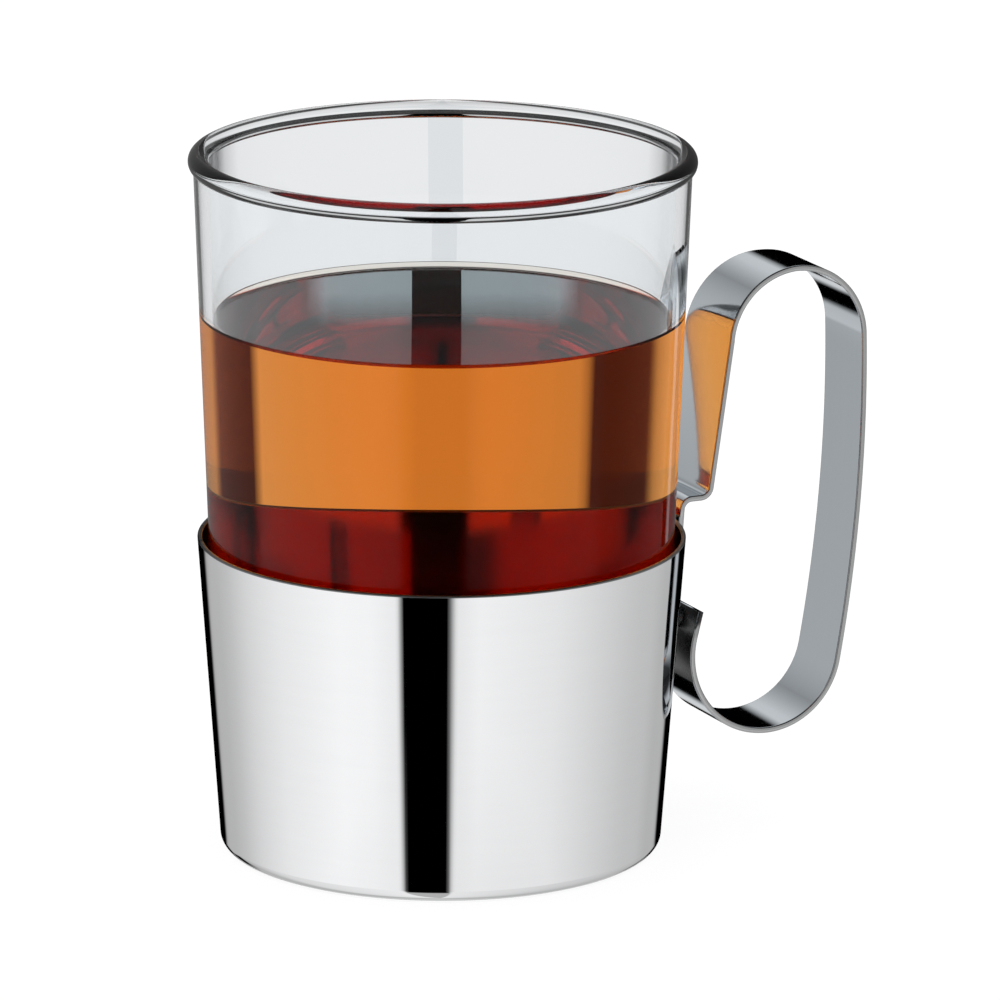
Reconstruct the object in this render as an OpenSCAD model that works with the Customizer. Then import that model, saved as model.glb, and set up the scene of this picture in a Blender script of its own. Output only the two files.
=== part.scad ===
// Tea glass: a beaded glass tumbler standing in a polished steel cup with a bent strap handle.
// The origin is the middle of the cup's base on the table, +Z is up and +X points to the handle.

/* [Holder cup] */
// Outer diameter of the cup at its rim
cup_rim_d = 73.5; // [70:0.1:84]
// Outer diameter of the cup where the line of its wall meets the table
cup_base_d = 66.5; // [60:0.1:70]
// Height of the cup
cup_h = 48.1; // [44:0.1:60]
// Thickness of the steel sheet
cup_sheet = 0.7; // [0.5:0.1:1.2]
// Outer radius of the corner between the cup's wall and base
cup_corner_r = 2; // [2:0.5:6]

/* [Glass] */
// Height of the glass
glass_h = 106.3; // [90:0.1:130]
// Outer diameter of the glass over its beaded rim
glass_mouth_d = 76; // [72:0.1:86]
// Diameter of the round bead along the rim
bead_d = 3; // [2.4:0.1:4]
// How far the bead stands out of the wall
bead_lip = 0.8; // [0.3:0.1:1.2]
// Thickness of the glass wall
glass_wall = 2; // [1.4:0.1:3]
// Thickness of the glass floor
glass_floor = 4.5; // [3:0.1:8]
// Outer radius of the glass's heel
glass_heel_r = 4; // [3:0.5:8]
// Inner radius of the corner between the glass's wall and floor
glass_well_r = 8; // [4:0.5:14]
// Gap between the glass and the cup's wall at the cup's rim
rim_gap = 1; // [0.6:0.05:2.5]
// Gap between the glass and the line of the cup's wall at the cup's floor
heel_gap = 0.4; // [0.3:0.05:1]

/* [Handle] */
// Width of the strap
strap_w = 12.5; // [8:0.5:18]
// Thickness of the strap
strap_t = 0.9; // [0.6:0.1:1.5]
// Height of the strap's crest above the cup's rim
handle_rise = 37.3; // [30:0.1:46]
// Depth of the strap's lowest point below the cup's rim
handle_drop = 35.7; // [32:0.1:42]
// Inner radius of the arch at the top
arch_r = 11.2; // [9:0.1:14]
// Inner radius of the bottom bend on the grip's side
heel_r = 11.6; // [9:0.1:14]
// Inner radius of the bottom bend on the cup's side
toe_r = 12.5; // [10:0.1:14]
// Radius of the grip's slight outward bow
bow_r = 245; // [150:5:600]
// Lean of the riser from the upright, in degrees
riser_lean = 6.5; // [0:0.5:10]
// Distance from the cup's rim out to the middle of the riser at its foot
riser_out = 5.3; // [4.6:0.1:8]
// Gap between the cup's rim and the foot that passes over it
foot_rise = 2.2; // [1.6:0.1:4]
// Inner radius of the two bends of the foot
foot_r = 1.2; // [0.8:0.1:1.5]
// Length of the foot's flange below the cup's rim
flange_l = 8; // [5:0.5:12]
// Gap between the cup's wall and the strap where the bottom bend comes closest
toe_gap = 3.8; // [2.5:0.1:6]
// Lean of the tail from the upright, in degrees
tail_lean = 14; // [4:1:20]
// Length of the straight tail above the bottom bend
tail_l = 4; // [3.5:0.1:6]
// Diameter of the stud that holds the tail off the cup's wall
stud_d = 3.5; // [2.5:0.1:5]
// Film of weld between the cup's wall and what is welded to it
weld_film = 0.05; // [0.02:0.01:0.1]

/* [Hidden] */
$fn = 128;
arc_steps = 16;
over = 2;

// Taper of the cup's wall from the upright, and its outer radius at a height
cup_taper = atan((cup_rim_d - cup_base_d) / 2 / cup_h);
function wall_r(z) = cup_base_d / 2 + z * tan(cup_taper);
// The same wall moved outwards by d, square to the sheet, and negative d moves it inwards
function shifted_wall(z, d) = wall_r(z) + d / cos(cup_taper);

// The glass: where it stands, its outer radii from the floor up, and the middle of its bead
seat_z = cup_sheet;
glass_foot_r = shifted_wall(seat_z, -cup_sheet) - heel_gap;
waist_r = shifted_wall(cup_h, -cup_sheet) - rim_gap;
neck_r = glass_mouth_d / 2 - bead_lip;
bead_c = [glass_mouth_d / 2 - bead_d / 2, seat_z + glass_h - bead_d / 2];

// Middle-line radii of the strap's bends
strap_half = strap_t / 2;
arch_m = arch_r + strap_half;
heel_m = heel_r + strap_half;
toe_m = toe_r + strap_half;
foot_m = foot_r + strap_half;

// The riser's middle line passes riser_base and climbs along riser_dir
riser_base = [cup_rim_d / 2 + riser_out, cup_h + foot_rise + strap_half];
riser_dir = [sin(riser_lean), cos(riser_lean)];
riser_side = [cos(riser_lean), -sin(riser_lean)];
// A point at height z, d beside the riser's middle line, away from the cup
function beside_riser(z, d) =
    riser_base + (z - riser_base[1] - d * riser_side[1]) / riser_dir[1] * riser_dir + d * riser_side;

// Centres of the strap's bends, seen from the side as [distance from the axis, height]
foot_c = beside_riser(cup_h + foot_rise + strap_t + foot_r, -foot_m);
arch_c = beside_riser(cup_h + handle_rise - strap_t - arch_r, arch_m);
lowest_z = cup_h - handle_drop + strap_half;
toe_z = lowest_z + toe_m;
bottom_x = wall_r(toe_z) + toe_gap + strap_half + toe_m;
toe_c = [bottom_x, toe_z];
heel_c = [bottom_x, lowest_z + heel_m];
bow_c = circles_meet(arch_c, bow_r - arch_m, heel_c, bow_r - heel_m);
arch_start = turn_to(arch_c - bow_c);
heel_end = turn_to(heel_c - bow_c);
flange_z = cup_h + foot_rise - foot_r;
flange_c = [shifted_wall(flange_z, weld_film + strap_t + foot_r), flange_z];
flange_dir = [-sin(cup_taper), -cos(cup_taper)];
flange_reach = flange_l + foot_rise - foot_r;
tail_dir = [sin(tail_lean), cos(tail_lean)];

function turn_to(v) = atan2(v[1], v[0]);
function on_circle(c, r, a) = c + r * [cos(a), sin(a)];
function arc(c, r, a0, a1) = [for (i = [0:arc_steps]) on_circle(c, r, a0 + (a1 - a0) * i / arc_steps)];
function reversed(list) = [for (i = [len(list) - 1:-1:0]) list[i]];
// The point on the left of the way from a to b that is ra from a and rb from b
function circles_meet(a, ra, b, rb) =
    let (d = norm(b - a), u = (b - a) / d, along = (d * d + ra * ra - rb * rb) / (2 * d))
    a + along * u + sqrt(ra * ra - along * along) * [u[1], -u[0]];

// Half section of a filled vessel with a rounded bottom corner and a wall of points from the floor up
module vessel(z0, corner_r, wall) {
    taper = atan((wall[1][0] - wall[0][0]) / (wall[1][1] - wall[0][1]));
    foot = wall[0][0] + (z0 - wall[0][1]) * tan(taper);
    c = [foot + corner_r * tan(taper) - corner_r / cos(taper), z0 + corner_r];
    above = [for (i = [1:len(wall) - 1]) wall[i]];
    top = wall[len(wall) - 1][1];
    polygon(concat([[0, z0], [c[0], z0], on_circle(c, corner_r, -taper)], above, [[0, top]]));
    translate(c) circle(corner_r);
}

// The cup's outside, moved outwards by d
module cup_outside(d) {
    vessel(-d, cup_corner_r + d, [[shifted_wall(0, d), 0], [shifted_wall(cup_h, d), cup_h]]);
}

// Deep-drawn cup with a tapered wall, a rounded corner and a flat base
module holder_cup() {
    open_z = cup_h + over;
    color("silver") rotate_extrude() difference() {
        cup_outside(0);
        vessel(
            cup_sheet,
            cup_corner_r - cup_sheet,
            [[shifted_wall(0, -cup_sheet), 0], [shifted_wall(open_z, -cup_sheet), open_z]]
        );
    }
}

// The tail's end, k from the middle line towards the open side
function tail_end(k) = on_circle(toe_c, toe_m - k, 180 - tail_lean) + tail_l * tail_dir;

// The flange's end, k from the middle line towards the open side
function flange_end(k) = on_circle(flange_c, foot_m - k, 180 - cup_taper) + flange_reach * flange_dir;

// One face of the strap, k from its middle line towards the open side, from the tail to the flange
function strap_face(k) = concat(
    [tail_end(k)],
    arc(toe_c, toe_m - k, -180 - tail_lean, -90),
    arc(heel_c, heel_m - k, -90, heel_end),
    arc(bow_c, bow_r - k, heel_end, arch_start),
    arc(arch_c, arch_m - k, arch_start, 180 - riser_lean),
    arc(foot_c, foot_m + k, -riser_lean, -90),
    arc(flange_c, foot_m - k, 90, 180 - cup_taper),
    [flange_end(k)]
);

// Stands a side view up in the XZ plane and gives it a width
module across(w) {
    rotate([90, 0, 0]) linear_extrude(w, center = true) children();
}

// One bent strip: tail, bottom bends, bowed grip, arch, riser, and a foot with a flange on the cup's wall
module handle_strap() {
    outline = concat(strap_face(strap_half), reversed(strap_face(-strap_half)));
    color("gainsboro") across(strap_w) polygon(outline);
}

// Short stud, welded to the cup's wall and cut to meet the tail's back
module handle_stud() {
    low = tail_end(-strap_half) - tail_l * tail_dir;
    middle = low + tail_l / 2 * tail_dir;
    color("darkgray") difference() {
        translate([0, 0, middle[1]]) rotate([0, 90, 0]) cylinder(d = stud_d, h = middle[0] + over);
        rotate_extrude() cup_outside(weld_film);
        across(stud_d + over) polygon([
            low - stud_d * tail_dir,
            low + (tail_l + stud_d) * tail_dir,
            low + (tail_l + stud_d) * tail_dir + [stud_d + over, 0],
            low - stud_d * tail_dir + [stud_d + over, 0]
        ]);
    }
}

// Tumbler with a rounded heel, a steeper wall inside the cup, a gentle taper above it and a beaded rim
module glass() {
    well_z = seat_z + glass_floor;
    color([0.86, 0.93, 0.95, 0.4]) rotate_extrude() {
        difference() {
            vessel(seat_z, glass_heel_r, [[glass_foot_r, seat_z], [waist_r, cup_h], [neck_r, bead_c[1]]]);
            vessel(
                well_z,
                glass_well_r,
                [
                    [glass_foot_r - glass_wall, seat_z],
                    [waist_r - glass_wall, cup_h],
                    [neck_r - glass_wall, bead_c[1]],
                    [neck_r - glass_wall, bead_c[1] + over]
                ]
            );
        }
        translate(bead_c) circle(d = bead_d);
    }
}

holder_cup();
handle_strap();
handle_stud();
glass();
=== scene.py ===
from math import atan2, cos, degrees, hypot, pi, radians, sin, sqrt

import bmesh
import bpy
from mathutils import Matrix, Vector


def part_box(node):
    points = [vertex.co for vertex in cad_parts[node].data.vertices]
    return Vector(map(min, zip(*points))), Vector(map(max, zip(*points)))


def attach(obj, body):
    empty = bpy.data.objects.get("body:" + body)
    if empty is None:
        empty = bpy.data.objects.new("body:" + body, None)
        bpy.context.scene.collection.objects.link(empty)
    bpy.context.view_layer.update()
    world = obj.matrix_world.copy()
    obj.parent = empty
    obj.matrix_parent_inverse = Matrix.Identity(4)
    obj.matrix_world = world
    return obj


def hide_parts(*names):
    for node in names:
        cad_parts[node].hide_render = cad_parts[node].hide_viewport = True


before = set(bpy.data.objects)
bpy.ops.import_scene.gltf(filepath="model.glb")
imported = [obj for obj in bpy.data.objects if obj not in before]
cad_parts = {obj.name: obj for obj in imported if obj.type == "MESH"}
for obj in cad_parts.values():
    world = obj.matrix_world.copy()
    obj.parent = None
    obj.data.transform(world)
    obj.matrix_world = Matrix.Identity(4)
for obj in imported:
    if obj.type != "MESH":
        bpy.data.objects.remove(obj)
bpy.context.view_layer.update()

# Holder cup: one thin stainless sheet, deep-drawn to a plain tapered cup with a small rounded corner
# and a flat base. It is polished to a mirror inside and out. The trimmed rim is deburred and left dull,
# and its steel is painted near black, a painted dark reflection along the rim.
mm = 0.001
cup_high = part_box("holder_cup")[1]
cup_h = cup_high.z
cup_rim_r = cup_high.x
cup_base_r = 33.25 * mm
cup_sheet = 0.7 * mm
cup_corner_r = 2 * mm
cup_deburr = 0.3 * mm
cup_slope = (cup_rim_r - cup_base_r) / cup_h
cup_taper = atan2(cup_slope, 1)
cup_corner_steps = 10
cup_deburr_steps = 6
turning_steps = 256
merge_reach = 0.001 * mm


def arc(centre, radius, start, end, steps):
    """Points of a half section, along an arc from one angle to another in degrees."""
    turns = [radians(start + (end - start) * i / steps) for i in range(steps + 1)]
    return [(centre[0] + radius * cos(a), centre[1] + radius * sin(a)) for a in turns]


def wall_corner(foot_r, slope, floor_z, radius):
    """Centre of the arc between a floor and a leaning wall that would meet the floor at foot_r."""
    return foot_r + radius * slope - radius * sqrt(1 + slope * slope), floor_z + radius


def turned(outline):
    """A solid turned about the upright axis, from a half section that starts and ends on the axis."""
    bm = bmesh.new()
    verts = [bm.verts.new((r, 0, z)) for r, z in outline]
    edges = [bm.edges.new(pair) for pair in zip(verts, verts[1:])]
    bmesh.ops.spin(
        bm,
        geom=verts + edges,
        cent=(0, 0, 0),
        axis=(0, 0, 1),
        angle=2 * pi,
        steps=turning_steps,
        use_merge=True,
    )
    bmesh.ops.remove_doubles(bm, verts=bm.verts, dist=merge_reach)
    bmesh.ops.recalc_face_normals(bm, faces=bm.faces)
    return bm


def finished_piece(name, bm, *materials):
    """The piece's object, shaded smooth, with the broad faces keeping their own direction at the bends."""
    for face in bm.faces:
        face.smooth = True
    mesh = bpy.data.meshes.new(name)
    bm.to_mesh(mesh)
    bm.free()
    for material in materials:
        mesh.materials.append(material)
    piece = bpy.data.objects.new(name, mesh)
    bpy.context.scene.collection.objects.link(piece)
    normals = piece.modifiers.new("broad faces lead", "WEIGHTED_NORMAL")
    normals.weight = 80
    return piece


def polished_steel(name, marks_scale, brightness, dull, cast=(1, 1, 1)):
    """Polished stainless steel with faint polishing marks. dull is its least and most roughness."""
    material = bpy.data.materials.new(name)
    material.use_nodes = True
    nodes, links = material.node_tree.nodes, material.node_tree.links
    shader = nodes["Principled BSDF"]
    shader.inputs["Metallic"].default_value = 1
    where = nodes.new("ShaderNodeTexCoord")
    grain = nodes.new("ShaderNodeMapping")
    grain.inputs["Scale"].default_value = marks_scale
    marks = nodes.new("ShaderNodeTexNoise")
    marks.inputs["Scale"].default_value = 1
    marks.inputs["Detail"].default_value = 6
    marks.inputs["Roughness"].default_value = 0.65
    dullness = nodes.new("ShaderNodeMapRange")
    dullness.inputs["From Min"].default_value = 0.3
    dullness.inputs["From Max"].default_value = 0.75
    dullness.inputs["To Min"].default_value = dull[0]
    dullness.inputs["To Max"].default_value = dull[1]
    red, green, blue = (brightness * part for part in cast)
    tone = nodes.new("ShaderNodeValToRGB")
    tone.color_ramp.elements[0].position = 0.3
    tone.color_ramp.elements[0].color = (0.985 * red, 0.99 * green, blue, 1)
    tone.color_ramp.elements[1].position = 0.7
    tone.color_ramp.elements[1].color = (red, 1.005 * green, 1.015 * blue, 1)
    links.new(where.outputs["Object"], grain.inputs["Vector"])
    links.new(grain.outputs["Vector"], marks.inputs["Vector"])
    links.new(marks.outputs["Fac"], dullness.inputs["Value"])
    links.new(dullness.outputs["Result"], shader.inputs["Roughness"])
    links.new(marks.outputs["Fac"], tone.inputs["Fac"])
    links.new(tone.outputs["Color"], shader.inputs["Base Color"])
    return material


def cup_wall_r(z):
    """Outer radius of the cup's wall at a height."""
    return cup_base_r + z * cup_slope


sheet_across = cup_sheet / cos(cup_taper)
outer_corner = wall_corner(cup_base_r, cup_slope, 0, cup_corner_r)
inner_corner_r = cup_corner_r - cup_sheet
inner_corner = wall_corner(cup_wall_r(cup_sheet) - sheet_across, cup_slope, cup_sheet, inner_corner_r)
lean = degrees(cup_taper)
rim_corner = cup_h - cup_deburr
rim_outside = (cup_wall_r(rim_corner) - cup_deburr, rim_corner)
rim_inside = (cup_wall_r(rim_corner) - sheet_across + cup_deburr, rim_corner)
cup_outline = [
    (0, 0),
    *arc(outer_corner, cup_corner_r, -90, -lean, cup_corner_steps),
    *arc(rim_outside, cup_deburr, 0, 90, cup_deburr_steps),
    *arc(rim_inside, cup_deburr, 90, 180, cup_deburr_steps),
    *arc(inner_corner, inner_corner_r, -lean, -90, cup_corner_steps),
    (0, cup_sheet),
]
cup = turned(cup_outline)
cup_finishes = [
    polished_steel("cup_outside", (60, 60, 700), brightness=0.71, dull=(0.015, 0.03)),
    polished_steel("cup_inside", (90, 90, 900), brightness=0.74, dull=(0.05, 0.08)),
    # the rim's near-black steel is a painted dark reflection, not the steel's own colour
    polished_steel("cup_rim_painted_dark", (400, 400, 400), brightness=0.2, dull=(0.25, 0.4)),
]
outside, inside, edge = range(len(cup_finishes))
for face in cup.faces:
    middle = face.calc_center_median()
    face.material_index = outside
    if middle.z > rim_corner:
        face.material_index = edge
    elif face.normal.dot((middle.x, middle.y, 0)) < 0:
        face.material_index = inside
cup_shell = finished_piece("cup_shell", cup, *cup_finishes)
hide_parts("holder_cup")
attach(cup_shell, "holder")

# Handle strap: one flat strip of stainless steel, bent cold round formers from its tail to its foot. The
# foot steps over the cup's rim and its end is spot-welded to the wall. The cut edges are rounded over and
# a little darker and duller than the faces. The tail's back, which faces the cup, is painted near black
# as painted shade in the gap between the tail and the cup.
strap_low, strap_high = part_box("handle_strap")
strap_w = strap_high.y - strap_low.y
strap_t = 0.9 * mm
strap_edge_r = 0.3 * mm
strap_edge_tilt = 0.25
strap_twist = radians(7.5)
arch_r = 11.2 * mm + strap_t / 2
heel_r = 11.6 * mm + strap_t / 2
toe_r = 12.5 * mm + strap_t / 2
foot_r = 1.2 * mm + strap_t / 2
bow_r = 245 * mm
riser_lean = radians(6.5)
riser_out = 5.3 * mm
foot_rise = 2.2 * mm
flange_l = 8 * mm
toe_gap = 3.8 * mm
tail_lean = radians(14)
tail_l = 4 * mm
tail_shade_drop = 4 * mm
weld_film = 0.05 * mm
toe_steps = 40
heel_steps = 32
bow_steps = 24
arch_half_steps = 32
riser_steps = 16
foot_steps = 16

plate_z = cup_h + foot_rise + strap_t / 2
riser_up = Vector((sin(riser_lean), 0, cos(riser_lean)))
riser_out_dir = Vector((cos(riser_lean), 0, -sin(riser_lean)))
riser_base = Vector((cup_rim_r + riser_out, 0, plate_z))


def beside_riser(z, aside):
    """A point at a height, so far beside the riser's middle line, away from the cup."""
    climb = (z - riser_base.z - aside * riser_out_dir.z) / riser_up.z
    return riser_base + climb * riser_up + aside * riser_out_dir


def tangent_circle_centre(a, a_reach, b, b_reach):
    """The point on the cup's side of the way from a down to b that is a_reach from a and b_reach from b."""
    way = b - a
    along = (way.length_squared + a_reach**2 - b_reach**2) / (2 * way.length)
    step = way.normalized()
    return a + along * step + sqrt(a_reach**2 - along**2) * Vector((step.z, 0, -step.x))


def bearing(centre, point):
    """Angle of a point about a centre, seen from the strap's side with the handle to the right."""
    return atan2(point.z - centre.z, point.x - centre.x)


arch_c = beside_riser(strap_high.z - strap_t / 2 - arch_r, arch_r)
foot_c = beside_riser(plate_z + foot_r, -foot_r)
lowest = strap_low.z + strap_t / 2
bottom_x = cup_wall_r(lowest + toe_r) + toe_gap + strap_t / 2 + toe_r
toe_c = Vector((bottom_x, 0, lowest + toe_r))
heel_c = Vector((bottom_x, 0, lowest + heel_r))
bow_c = tangent_circle_centre(arch_c, bow_r - arch_r, heel_c, bow_r - heel_r)
heel_end = bearing(bow_c, heel_c)
arch_start = bearing(bow_c, arch_c)
flange_c_z = plate_z - foot_r
flange_off_wall = (weld_film + strap_t / 2 + foot_r) / cos(cup_taper)
flange_c = Vector((cup_wall_r(flange_c_z) + flange_off_wall, 0, flange_c_z))
tail_up = Vector((sin(tail_lean), 0, cos(tail_lean)))
flange_down = Vector((-sin(cup_taper), 0, -cos(cup_taper)))
riser_top = arch_c - arch_r * riser_out_dir
riser_foot = foot_c + foot_r * riser_out_dir
flange_run = flange_l + foot_rise + strap_t / 2 - foot_r

strap = bmesh.new()
bmesh.ops.create_grid(strap, x_segments=1, y_segments=1, size=0.5)
bmesh.ops.scale(strap, verts=strap.verts, vec=(strap_t, strap_w, 1))
bmesh.ops.bevel(
    strap,
    geom=strap.verts,
    offset=strap_edge_r,
    offset_type="OFFSET",
    affect="VERTICES",
    segments=4,
    profile=0.5,
    material=-1,
)
tail_tip = toe_c + toe_r * Vector((-cos(tail_lean), 0, sin(tail_lean))) + tail_l * tail_up
stand = Matrix.Translation(tail_tip) @ Matrix.Rotation(tail_lean, 4, "Y")
bmesh.ops.transform(strap, matrix=stand, verts=strap.verts)
strap_end = strap.faces[:]


def faces_of(geom):
    """The faces among some geometry."""
    return [f for f in geom if isinstance(f, bmesh.types.BMFace)]


def twist_end(end, way, angle):
    """Turns the strip's end face about the way that the strip runs there."""
    turned_end = Matrix.Rotation(angle, 3, way)
    bmesh.ops.rotate(strap, cent=end[0].calc_center_median(), matrix=turned_end, verts=end[0].verts)


def run_on(end, way, steps=1, twist=0, from_tip=False):
    """Runs the strip straight on from its end face, twisted on the way. At the tip that face stays."""
    for _ in range(steps):
        longer = faces_of(bmesh.ops.extrude_face_region(strap, geom=end)["geom"])
        if not from_tip:
            bmesh.ops.delete(strap, geom=end, context="FACES_ONLY")
        end = longer
        bmesh.ops.translate(strap, vec=way / steps, verts=end[0].verts)
        twist_end(end, way, twist / steps)
    return end


def bend_on(end, centre, angle, steps, twist=0):
    """Bends the strip on from its end face round a former at centre, and twists it on the way."""
    for _ in range(steps):
        bent = bmesh.ops.spin(
            strap, geom=end, cent=centre, axis=(0, -1, 0), angle=angle / steps, steps=1, use_merge=False
        )
        bmesh.ops.delete(strap, geom=end, context="FACES_ONLY")
        end = faces_of(bent["geom_last"])
        spoke = end[0].calc_center_median() - centre
        twist_end(end, Vector((-spoke.z, 0, spoke.x)) * angle, twist / steps)
    return end


strap_end = run_on(strap_end, -tail_l * tail_up, from_tip=True)
strap_end = bend_on(strap_end, toe_c, pi / 2 + tail_lean, toe_steps)
strap_end = bend_on(strap_end, heel_c, pi / 2 + heel_end, heel_steps)
strap_end = bend_on(strap_end, bow_c, arch_start - heel_end, bow_steps)
strap_end = bend_on(strap_end, arch_c, pi / 2 - arch_start, arch_half_steps)
strap_end = bend_on(strap_end, arch_c, pi / 2 - riser_lean, arch_half_steps, -strap_twist)
strap_end = run_on(strap_end, riser_foot - riser_top, riser_steps, strap_twist)
strap_end = bend_on(strap_end, foot_c, riser_lean - pi / 2, foot_steps)
strap_end = run_on(strap_end, Vector((flange_c.x - foot_c.x, 0, 0)))
strap_end = bend_on(strap_end, flange_c, pi / 2 - cup_taper, foot_steps)
strap_end = run_on(strap_end, flange_run * flange_down)
bmesh.ops.remove_doubles(strap, verts=strap.verts, dist=merge_reach)
bmesh.ops.recalc_face_normals(strap, faces=strap.faces)
strap.normal_update()
strap_finishes = [
    polished_steel("strap_polish", (60, 900, 60), brightness=0.71, dull=(0.04, 0.08), cast=(0.93, 1, 1.05)),
    polished_steel("cut_edge", (300, 300, 300), brightness=0.38, dull=(0.12, 0.25)),
    # the tail's back is painted near black: painted shade in the gap between the tail and the cup
    polished_steel("tail_back_painted_shade", (200, 200, 200), brightness=0.1, dull=(0.2, 0.35)),
]
broad, cut, shaded_back = range(len(strap_finishes))
for face in strap.faces:
    middle = face.calc_center_median()
    at_tail = middle.x < toe_c.x and toe_c.z - tail_shade_drop < middle.z < tail_tip.z
    face.material_index = broad
    if abs(face.normal.y) > strap_edge_tilt:
        face.material_index = cut
    elif face.normal.x < 0 and at_tail:
        face.material_index = shaded_back
bent_strap = finished_piece("bent_strap", strap, *strap_finishes)
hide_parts("handle_strap")
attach(bent_strap, "holder")

# Handle stud: a short steel pin that holds the strap's tail off the cup. It is turned from rod and
# welded at both ends, with a small fillet of weld against the cup's wall.
stud_low, stud_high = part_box("handle_stud")
stud_r = (stud_high.y - stud_low.y) / 2
stud_z = (stud_low.z + stud_high.z) / 2
stud_weld_r = 0.5 * mm
stud_weld_steps = 6
stud_sink = 0.3 * mm
stud_start = stud_low.x - stud_sink
stud_end = stud_high.x
weld_c = (stud_r + stud_weld_r, stud_low.x + stud_sink + stud_weld_r)
stud_outline = [
    (0, stud_start),
    (stud_r + stud_weld_r, stud_start),
    *arc(weld_c, stud_weld_r, 270, 180, stud_weld_steps),
    (stud_r, stud_end),
    (0, stud_end),
]
stud = turned(stud_outline)
lie_down = Matrix.Translation((0, 0, stud_z)) @ Matrix.Rotation(pi / 2, 4, "Y")
bmesh.ops.transform(stud, matrix=lie_down, verts=stud.verts)
stud_polish = polished_steel("stud_polish", (900, 120, 120), brightness=0.72, dull=(0.08, 0.15))
welded_stud = finished_piece("welded_stud", stud, stud_polish)
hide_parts("handle_stud")
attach(welded_stud, "holder")

# Glass: a clear tumbler, pressed in a mould, with a rounded heel, a thick floor and a fire-polished bead
# along its rim. Its underside is slightly hollow, and it stands loose on the cup's floor. Below the tea's
# line its inside is wet, so the light bends less there.
glass_low, glass_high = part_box("glass")
seat_z = glass_low.z
mouth_r = glass_high.x
bead_r = 1.5 * mm
bead_lip = 0.8 * mm
base_hollow = 0.2 * mm
base_ring_w = 1.5 * mm
glass_wall = 2 * mm
glass_floor = 4.5 * mm
glass_heel_r = 4 * mm
glass_well_r = 8 * mm
glass_foot_r = 32.2 * mm
glass_waist_r = 35.05 * mm
heel_arc_steps = 16
bead_steps = 40
well_steps = 20
glass_index = 1.48
glass_gleam = (0.35, 0.35, 0.36, 1)
tea_index = 1.333
tea_z = 81.9 * mm
meniscus_h = 0.7 * mm

bead_c = (mouth_r - bead_r, glass_high.z - bead_r)
neck_r = mouth_r - bead_lip
foot_slope = (glass_waist_r - glass_foot_r) / (cup_h - seat_z)
neck_slope = (neck_r - glass_waist_r) / (bead_c[1] - cup_h)
well_z = seat_z + glass_floor
wet_z = tea_z + meniscus_h


def inside_r(z):
    """Radius of the glass's inner wall at a height."""
    if z < cup_h:
        return glass_waist_r - glass_wall + (z - cup_h) * foot_slope
    return glass_waist_r - glass_wall + (z - cup_h) * neck_slope


def on_bead(r):
    """Angle in degrees on the lower half of the bead where it stands at a radius."""
    return -degrees(atan2(sqrt(bead_r**2 - (r - bead_c[0]) ** 2), r - bead_c[0]))


heel_lean = degrees(atan2(foot_slope, 1))
heel_corner = wall_corner(glass_foot_r, foot_slope, seat_z, glass_heel_r)
well_corner = wall_corner(inside_r(well_z), foot_slope, well_z, glass_well_r)
ring_r = heel_corner[0] - base_ring_w
glass_outline = [
    (0, seat_z + base_hollow),
    (ring_r - base_hollow, seat_z + base_hollow),
    (ring_r, seat_z),
    *arc(heel_corner, glass_heel_r, -90, -heel_lean, heel_arc_steps),
    (glass_waist_r, cup_h),
    *arc(bead_c, bead_r, on_bead(neck_r), 360 + on_bead(neck_r - glass_wall), bead_steps),
    (inside_r(wet_z), wet_z),
    (glass_waist_r - glass_wall, cup_h),
    *arc(well_corner, glass_well_r, -heel_lean, -90, well_steps),
    (0, well_z),
]


def clear_glass(name, index):
    """Clear glass with the faint unevenness of a moulded wall. index is against what the face touches."""
    material = bpy.data.materials.new(name)
    material.use_nodes = True
    nodes, links = material.node_tree.nodes, material.node_tree.links
    shader = nodes["Principled BSDF"]
    shader.inputs["Transmission Weight"].default_value = 1
    shader.inputs["Roughness"].default_value = 0
    shader.inputs["IOR"].default_value = index
    shader.inputs["Specular Tint"].default_value = glass_gleam
    where = nodes.new("ShaderNodeTexCoord")
    waves = nodes.new("ShaderNodeTexNoise")
    waves.inputs["Scale"].default_value = 60
    waves.inputs["Detail"].default_value = 1
    tint = nodes.new("ShaderNodeValToRGB")
    tint.color_ramp.elements[0].color = (0.955, 0.975, 0.99, 1)
    tint.color_ramp.elements[1].color = (0.97, 0.985, 0.995, 1)
    links.new(where.outputs["Object"], waves.inputs["Vector"])
    links.new(waves.outputs["Fac"], tint.inputs["Fac"])
    links.new(tint.outputs["Color"], shader.inputs["Base Color"])
    return material


tumbler = turned(glass_outline)
glass_finishes = [clear_glass("dry_glass", glass_index), clear_glass("wet_glass", glass_index / tea_index)]
dry, wet = range(len(glass_finishes))
for face in tumbler.faces:
    middle = face.calc_center_median()
    on_inner_wall = hypot(middle.x, middle.y) < inside_r(middle.z) + glass_wall / 2
    under_tea = well_z - glass_floor / 2 < middle.z < wet_z
    face.material_index = wet if on_inner_wall and under_tea else dry
glass_tumbler = finished_piece("glass_tumbler", tumbler, *glass_finishes)
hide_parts("glass")
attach(glass_tumbler, "tumbler")

# Tea: black tea, filled to about three quarters of the glass. It wets the wall, so its surface climbs a
# little at the edge, and its colour comes from how deep one looks into it. The wet glass already bends
# the light between the two, so the tea's own skin at the wall bends nothing.
tea_gap = 0.03 * mm
meniscus_w = 1.3 * mm
surface_steps = 12
surface_tilt = 0.1
skin_index = 1.0
tea_colour = (0.942, 0.622, 0.1, 1)
tea_density = 60

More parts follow.
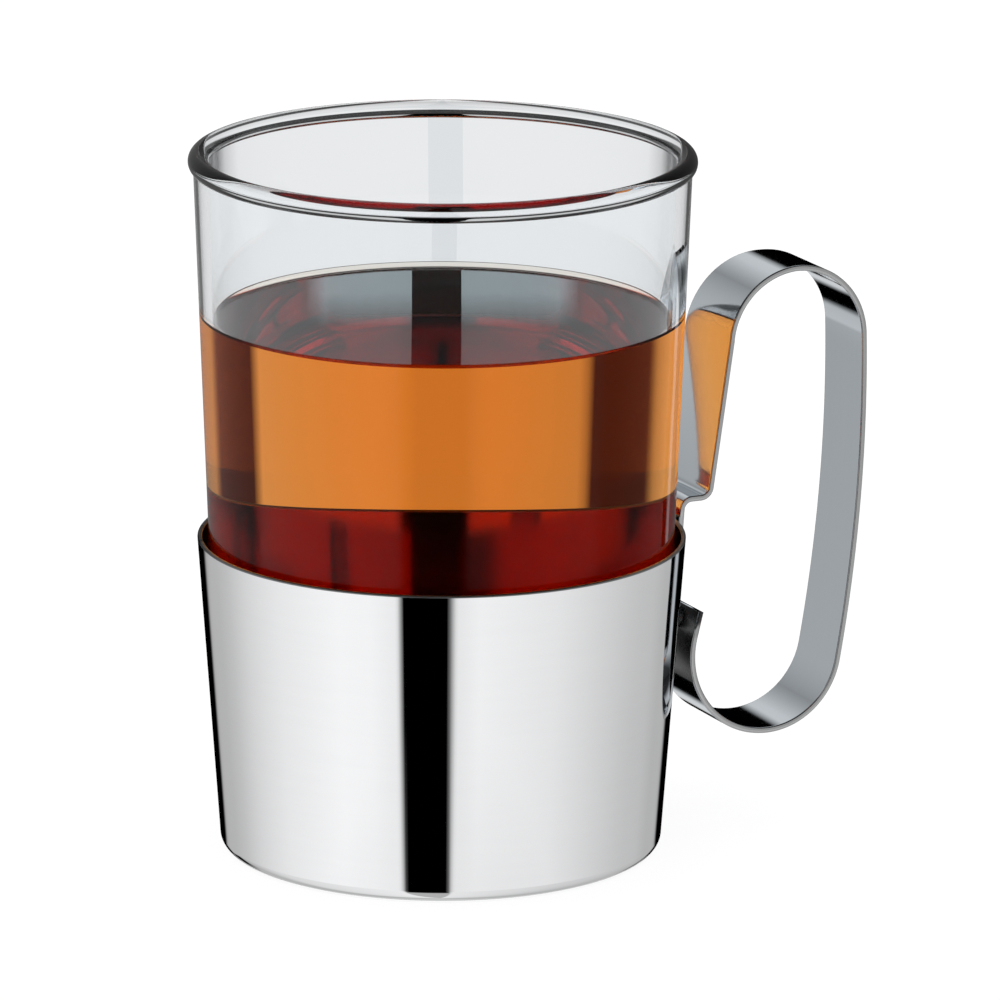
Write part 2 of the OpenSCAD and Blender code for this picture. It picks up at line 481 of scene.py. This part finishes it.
tea_edge_r = inside_r(wet_z) - tea_gap
tea_well = wall_corner(inside_r(well_z) - tea_gap, foot_slope, well_z + tea_gap, glass_well_r)
surface = []
for step in range(surface_steps + 1):
    share = step / surface_steps
    surface.append((tea_edge_r - meniscus_w * share, tea_z + meniscus_h * (1 - share) ** 3))
tea_outline = [
    (0, well_z + tea_gap),
    *arc(tea_well, glass_well_r, -90, -heel_lean, well_steps),
    (glass_waist_r - glass_wall - tea_gap, cup_h),
    *surface,
    (0, tea_z),
]


def tea_liquid(name, index):
    """Clear amber liquid that takes out blue and green with depth. index is against what it touches."""
    material = bpy.data.materials.new(name)
    material.use_nodes = True
    nodes, links = material.node_tree.nodes, material.node_tree.links
    shader = nodes["Principled BSDF"]
    shader.inputs["Base Color"].default_value = (1, 1, 1, 1)
    shader.inputs["Transmission Weight"].default_value = 1
    shader.inputs["Roughness"].default_value = 0
    shader.inputs["IOR"].default_value = index
    depth = nodes.new("ShaderNodeVolumeAbsorption")
    depth.inputs["Color"].default_value = tea_colour
    depth.inputs["Density"].default_value = tea_density
    links.new(depth.outputs["Volume"], nodes["Material Output"].inputs["Volume"])
    return material


brew = turned(tea_outline)
tea_finishes = [tea_liquid("tea_in_glass", skin_index), tea_liquid("tea_surface", tea_index)]
at_wall, open_top = range(len(tea_finishes))
for face in brew.faces:
    on_top = face.normal.z > surface_tilt and face.calc_center_median().z > tea_z - tea_gap
    face.material_index = open_top if on_top else at_wall
tea = finished_piece("tea", brew, *tea_finishes)
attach(tea, "tumbler")

# Studio: a pale floor, and tall white screens that stand round the object with narrow dark gaps, as a sky
# that is drawn by direction. Metal, clear glass and tea each have their own levels of it. The floor is lit
# plainly, and lies under the reflections, so that metal shows the screens.
view_azimuth = radians(-25)
floor_half = 3.0
floor_colour = (0.9, 0.9, 0.9, 1)
floor_glow = 1.13
floor_glow_share = 0.75

floor_mesh = bmesh.new()
bmesh.ops.create_grid(floor_mesh, x_segments=1, y_segments=1, size=floor_half)
pale = bpy.data.materials.new("pale_floor")
pale.use_nodes = True
nodes, links = pale.node_tree.nodes, pale.node_tree.links
matt = nodes["Principled BSDF"]
matt.inputs["Base Color"].default_value = floor_colour
matt.inputs["Roughness"].default_value = 0.9
glow = nodes.new("ShaderNodeEmission")
glow.inputs["Strength"].default_value = floor_glow
lit_floor = nodes.new("ShaderNodeMixShader")
lit_floor.inputs["Fac"].default_value = floor_glow_share
links.new(matt.outputs["BSDF"], lit_floor.inputs[1])
links.new(glow.outputs["Emission"], lit_floor.inputs[2])
links.new(lit_floor.outputs["Shader"], nodes["Material Output"].inputs["Surface"])
floor = finished_piece("floor", floor_mesh, pale)
floor.visible_glossy = False
floor.visible_transmission = False

sky = bpy.data.worlds.new("studio")
bpy.context.scene.world = sky
sky.use_nodes = True
nodes, links = sky.node_tree.nodes, sky.node_tree.links
background = nodes["Background"]
way = nodes.new("ShaderNodeTexCoord")
to_front = nodes.new("ShaderNodeMapping")
to_front.inputs["Rotation"].default_value[2] = pi / 2 - view_azimuth
parts = nodes.new("ShaderNodeSeparateXYZ")
around = nodes.new("ShaderNodeMath")
around.operation = "ARCTAN2"
turn = nodes.new("ShaderNodeMapRange")
turn.inputs["From Min"].default_value = -pi
turn.inputs["From Max"].default_value = pi
climb = nodes.new("ShaderNodeMapRange")
climb.inputs["From Min"].default_value = -1
links.new(way.outputs["Generated"], to_front.inputs["Vector"])
links.new(to_front.outputs["Vector"], parts.inputs["Vector"])
links.new(parts.outputs["Y"], around.inputs[0])
links.new(parts.outputs["X"], around.inputs[1])
links.new(around.outputs["Value"], turn.inputs["Value"])
links.new(parts.outputs["Z"], climb.inputs["Value"])
forward, aside, upward = parts.outputs


def light_levels(levels, source):
    """How bright the studio is along one direction: a ramp of (place, level), straight in between."""
    ramp = nodes.new("ShaderNodeValToRGB")
    for index, (place, level) in enumerate(levels):
        if index < 2:
            stop = ramp.color_ramp.elements[index]
            stop.position = place
        else:
            stop = ramp.color_ramp.elements.new(place)
        stop.color = level if isinstance(level, tuple) else (level, level, level, 1)
    links.new(source.outputs["Result"], ramp.inputs["Fac"])
    return ramp.outputs["Color"]


def levels_round(*levels):
    """Light levels round the object, each with its angle in degrees from the front to the right."""
    return light_levels([((angle + 180) / 360, level) for angle, level in levels], turn)


def levels_upward(*levels):
    """Light levels from straight down to straight up, each with its angle in degrees above the level."""
    return light_levels([((sin(radians(angle)) + 1) / 2, level) for angle, level in levels], climb)


def blended(kind, fac, a, b):
    """Two levels, blended."""
    mix = nodes.new("ShaderNodeMix")
    mix.data_type = "RGBA"
    mix.blend_type = kind
    if isinstance(fac, (int, float)):
        mix.inputs["Factor"].default_value = fac
    else:
        links.new(fac, mix.inputs["Factor"])
    for socket, value in (("A", a), ("B", b)):
        if isinstance(value, tuple):
            mix.inputs[socket].default_value = value
        else:
            links.new(value, mix.inputs[socket])
    return mix.outputs["Result"]


def both(a, b):
    """Two levels, multiplied."""
    return blended("MULTIPLY", 1, a, b)


def compared(kind, value, limit, leeway=0):
    """One where a number is on the wanted side of a limit, or within the leeway of it, else zero."""
    test = nodes.new("ShaderNodeMath")
    test.operation = kind
    links.new(value, test.inputs[0])
    test.inputs[1].default_value = limit
    test.inputs[2].default_value = leeway
    return test.outputs["Value"]


def faded(value, start, end):
    """One where a number is below the start, fading to zero at the end."""
    fade = nodes.new("ShaderNodeMapRange")
    fade.inputs["From Min"].default_value = start
    fade.inputs["From Max"].default_value = end
    fade.inputs["To Min"].default_value = 1
    fade.inputs["To Max"].default_value = 0
    links.new(value, fade.inputs["Value"])
    return fade.outputs["Result"]


ray = nodes.new("ShaderNodeLightPath")
black = (0, 0, 0, 1)
white = (1, 1, 1, 1)

# What metal mirrors: the screens at the cup's height, above it for the strap, and below it near the floor,
# with a light over the back, and a pale hem and underside where the screens stand on the floor.
cup_screens = levels_round(
    (-180, 0), (-155, 0), (-151, 0.5), (-147, 0.57), (-136, 0.61), (-124, 0.71), (-109, 0.9), (-99, 1),
    (-86, 1.11), (-51, 1.28), (-35, 1.26), (-21.5, 1.15), (-18.7, 0), (3.5, 0), (7.5, 1.1), (19, 1.22),
    (36, 1.16), (58, 1.08), (87, 0.88), (104, 0.77), (112, 0.73), (124, 0.69), (136, 0.59), (147, 0.57),
    (151, 0.5), (155, 0), (180, 0),
)
strap_screens = levels_round(
    (-180, 0), (-146, 0), (-140, 0.36), (-130, 0.45), (-120, 0.54), (-100, 0.72), (-51, 1), (-21.5, 0.9),
    (-18.7, 0), (3.5, 0), (7.5, 0.75), (50, 0.75), (87, 0.7), (104, 0.6), (120, 0.5), (135, 0.36),
    (142, 0), (180, 0),
)
low_screens = levels_round(
    (-180, 0), (-142, 0), (-136, 0.55), (-99, 0.95), (-20, 1.15), (-18, 0), (4, 0), (6, 1.1),
    (104, 0.77), (150, 0.55), (155, 0), (180, 0),
)
back_light = levels_round(
    (-180, 0.75), (-166, 0.72), (-148, 0.45), (-137, 0.3), (-130, 0.1), (-110, 0), (110, 0), (130, 0.2),
    (166, 0.7), (180, 0.75),
)
back_hem = levels_round((-180, 0.75), (-165, 0.75), (-158, 0), (158, 0), (165, 0.75), (180, 0.75))
strap_height = levels_upward((-90, 0), (-17, 0), (-14.5, 1), (90, 1))
low_height = levels_upward((-90, 1), (-26, 1), (-24, 0), (90, 0))
under_roof = levels_upward((-90, 1), (35, 1), (50, 0.1), (90, 0.1))
back_light_height = levels_upward((-90, 0), (20, 0), (26, 1), (38, 1), (52, 0.05), (90, 0.05))
back_hem_height = levels_upward((-90, 1), (-26, 1), (-24, 0), (90, 0))
underside = levels_upward((-90, 0.6), (-38, 0.6), (-32, 0), (90, 0))
round_steel = blended("MIX", strap_height, cup_screens, strap_screens)
round_steel = blended("MIX", low_height, round_steel, low_screens)
round_steel = both(round_steel, under_roof)
for lights in (both(back_light, back_light_height), both(back_hem, back_hem_height), underside):
    round_steel = blended("LIGHTEN", 1, round_steel, lights)

# What the smooth faces of glass and tea mirror, which is fainter.
gleams = levels_round(
    (-180, 0.2), (-104, 0.25), (-98, 0.55), (-22, 0.55), (-18, 0), (11, 0), (14, 0.28), (80, 0.28),
    (86, 0.1), (180, 0.1),
)
mirrored = blended("MIX", ray.outputs["Is Singular Ray"], round_steel, gleams)

# What clear glass shows: the dark lines of its rim after one wall, and the back screens after two walls,
# where they join at a faint line. Upwards, off the tea's surface, the join is a black seam in a cool gleam.
one_wall = 2.5
join_place = 0.0004
join_half = 0.0032
join_shade = (0.9, 0.91, 0.92, 1)
seam_place = -0.0016
seam_half = 0.0065
seam_foot = 0.1
back_gleam = (1, 1.18, 1.23, 1)
back_gleam_foot = 0.2
back_gleam_top = (0.227, 0.2306)
back_gleam_side = (0.036, 0.046)
rim_height = levels_upward(
    (-90, 0.95), (-58, 0.9), (-48, 0.6), (-30, 0.75), (-17, 0.85), (-11.2, 0.85), (-10.5, 0.05), (8, 0.05),
    (10, 0.6), (16, 0.6), (18, 0.05), (90, 0.05),
)
rim_gaps = levels_round(
    (-180, 1), (-175, 1), (-173, 0.1), (-163, 0.1), (-160, 1), (160, 1), (163, 0.1), (173, 0.1), (175, 1),
    (180, 1),
)
wall_height = levels_upward(
    (-90, 0.95), (-55, 0.9), (-45, 0.6), (-33, 0.6), (-28, 0.85), (8, 0.85), (10, 0.38), (18, 0.38),
    (22, 0.3), (90, 0.3),
)
off_middle = nodes.new("ShaderNodeMath")
off_middle.operation = "ABSOLUTE"
links.new(aside, off_middle.inputs[0])
over_back = compared("GREATER_THAN", upward, back_gleam_foot)
over_back = both(over_back, faded(upward, *back_gleam_top))
over_back = both(over_back, faded(off_middle.outputs["Value"], *back_gleam_side))
behind = compared("LESS_THAN", forward, 0)
seam = both(behind, compared("GREATER_THAN", upward, seam_foot))
seam = both(seam, compared("COMPARE", aside, seam_place, seam_half))
join = both(behind, compared("COMPARE", aside, join_place, join_half))
through_one = compared("LESS_THAN", ray.outputs["Transmission Depth"], one_wall)
round_glass = blended("MIX", over_back, wall_height, back_gleam)
round_glass = blended("MIX", through_one, round_glass, both(rim_height, rim_gaps))
round_glass = blended("MULTIPLY", join, round_glass, join_shade)
round_glass = blended("MIX", seam, round_glass, black)

# What tea shows: the screens behind it with two dark gaps, and higher up what its surface and the cup's
# inside send through it, in zones that start at an angle above the level.
two_walls = 4.5
gap_glow = (0.062, 0.024, 0.026, 1)
tea_screens = levels_round(
    (-180, 0.82), (-177, 0.82), (-175, 0.93), (-168, 0.86), (-161, 0.76), (-159, gap_glow),
    (-143, gap_glow), (-139, 0.6), (-130, 1.05), (-99, 1.15), (-51, 1.26), (-30, 1.2), (19, 1.2),
    (58, 1.07), (104, 0.8), (128, 0.65), (133, gap_glow), (149.5, gap_glow), (151.5, 0.86), (165, 0.93),
    (172, 0.98), (175.5, 0.93), (176.5, 0.82), (180, 0.82),
)
level_zone = levels_round((-180, 0), (-158, 0), (-153, 1.4), (162, 1.4), (166, 0), (180, 0))
lofty_zone = levels_round(
    (-180, 0), (-177, 0), (-174, 0.7), (-165, 1.3), (-100, 1.5), (-60, 1.3), (-50, 0.7), (-40, 0.25),
    (-20, 0.12), (-17, 0), (28, 0), (31, 1.2), (80, 1.5), (130, 1.5), (165, 1.3), (174, 0.7), (177, 0),
    (180, 0),
)
crest_zone = levels_round((-180, 0), (-149, 0), (-140, 1.4), (140, 1.4), (149, 0), (180, 0))
peak_zone = levels_round((-180, 0.5), (-150, 0.5), (-140, 1.4), (140, 1.4), (150, 0.5), (180, 0.5))
tea_zones = [(-9.3, crest_zone), (4, level_zone), (11.5, lofty_zone), (20, crest_zone), (57, peak_zone)]
round_tea = tea_screens
for lowest_angle, zone in tea_zones:
    in_zone = compared("GREATER_THAN", upward, sin(radians(lowest_angle)))
    round_tea = blended("MIX", in_zone, round_tea, zone)
round_tea = both(round_tea, levels_upward((-90, 0.005), (-50, 0.005), (-38, 1), (90, 1)))

through_two = compared("GREATER_THAN", ray.outputs["Transmission Depth"], two_walls)
through = blended("MIX", through_two, round_glass, round_tea)
round_piece = blended("MIX", ray.outputs["Is Transmission Ray"], mirrored, through)
lit_plain = blended("LIGHTEN", 1, ray.outputs["Is Camera Ray"], ray.outputs["Is Diffuse Ray"])
links.new(blended("MIX", lit_plain, round_piece, white), background.inputs["Color"])

# Camera: a long lens a little above the rim, turned so that the handle points right and away from it. Light
# is followed through all the walls of glass and tea.
view_elevation = radians(14.45)
view_target = Vector((0, 0, 52 * mm))
view_distance = 1.4
view_roll = radians(0.19)
picture_px = 1000
focal_px = 9315
target_px = (441.75, 508.2)
clear_bounces = 48
mirror_bounces = 16
camera = bpy.data.objects.new("camera", bpy.data.cameras.new("camera"))
bpy.context.scene.collection.objects.link(camera)
level_reach = cos(view_elevation)
backwards = Vector((sin(view_azimuth) * level_reach, -cos(view_azimuth) * level_reach, sin(view_elevation)))
roll = Matrix.Rotation(view_roll, 3, "Z").to_quaternion()
camera.location = view_target + view_distance * backwards
camera.rotation_euler = (backwards.to_track_quat("Z", "Y") @ roll).to_euler()
camera.data.lens = focal_px / picture_px * camera.data.sensor_width
camera.data.shift_x = 0.5 - target_px[0] / picture_px
camera.data.shift_y = target_px[1] / picture_px - 0.5
bpy.context.scene.camera = camera
bpy.context.scene.view_settings.view_transform = "Standard"
light_paths = bpy.context.scene.cycles
light_paths.max_bounces = clear_bounces
light_paths.transmission_bounces = clear_bounces
light_paths.glossy_bounces = mirror_bounces
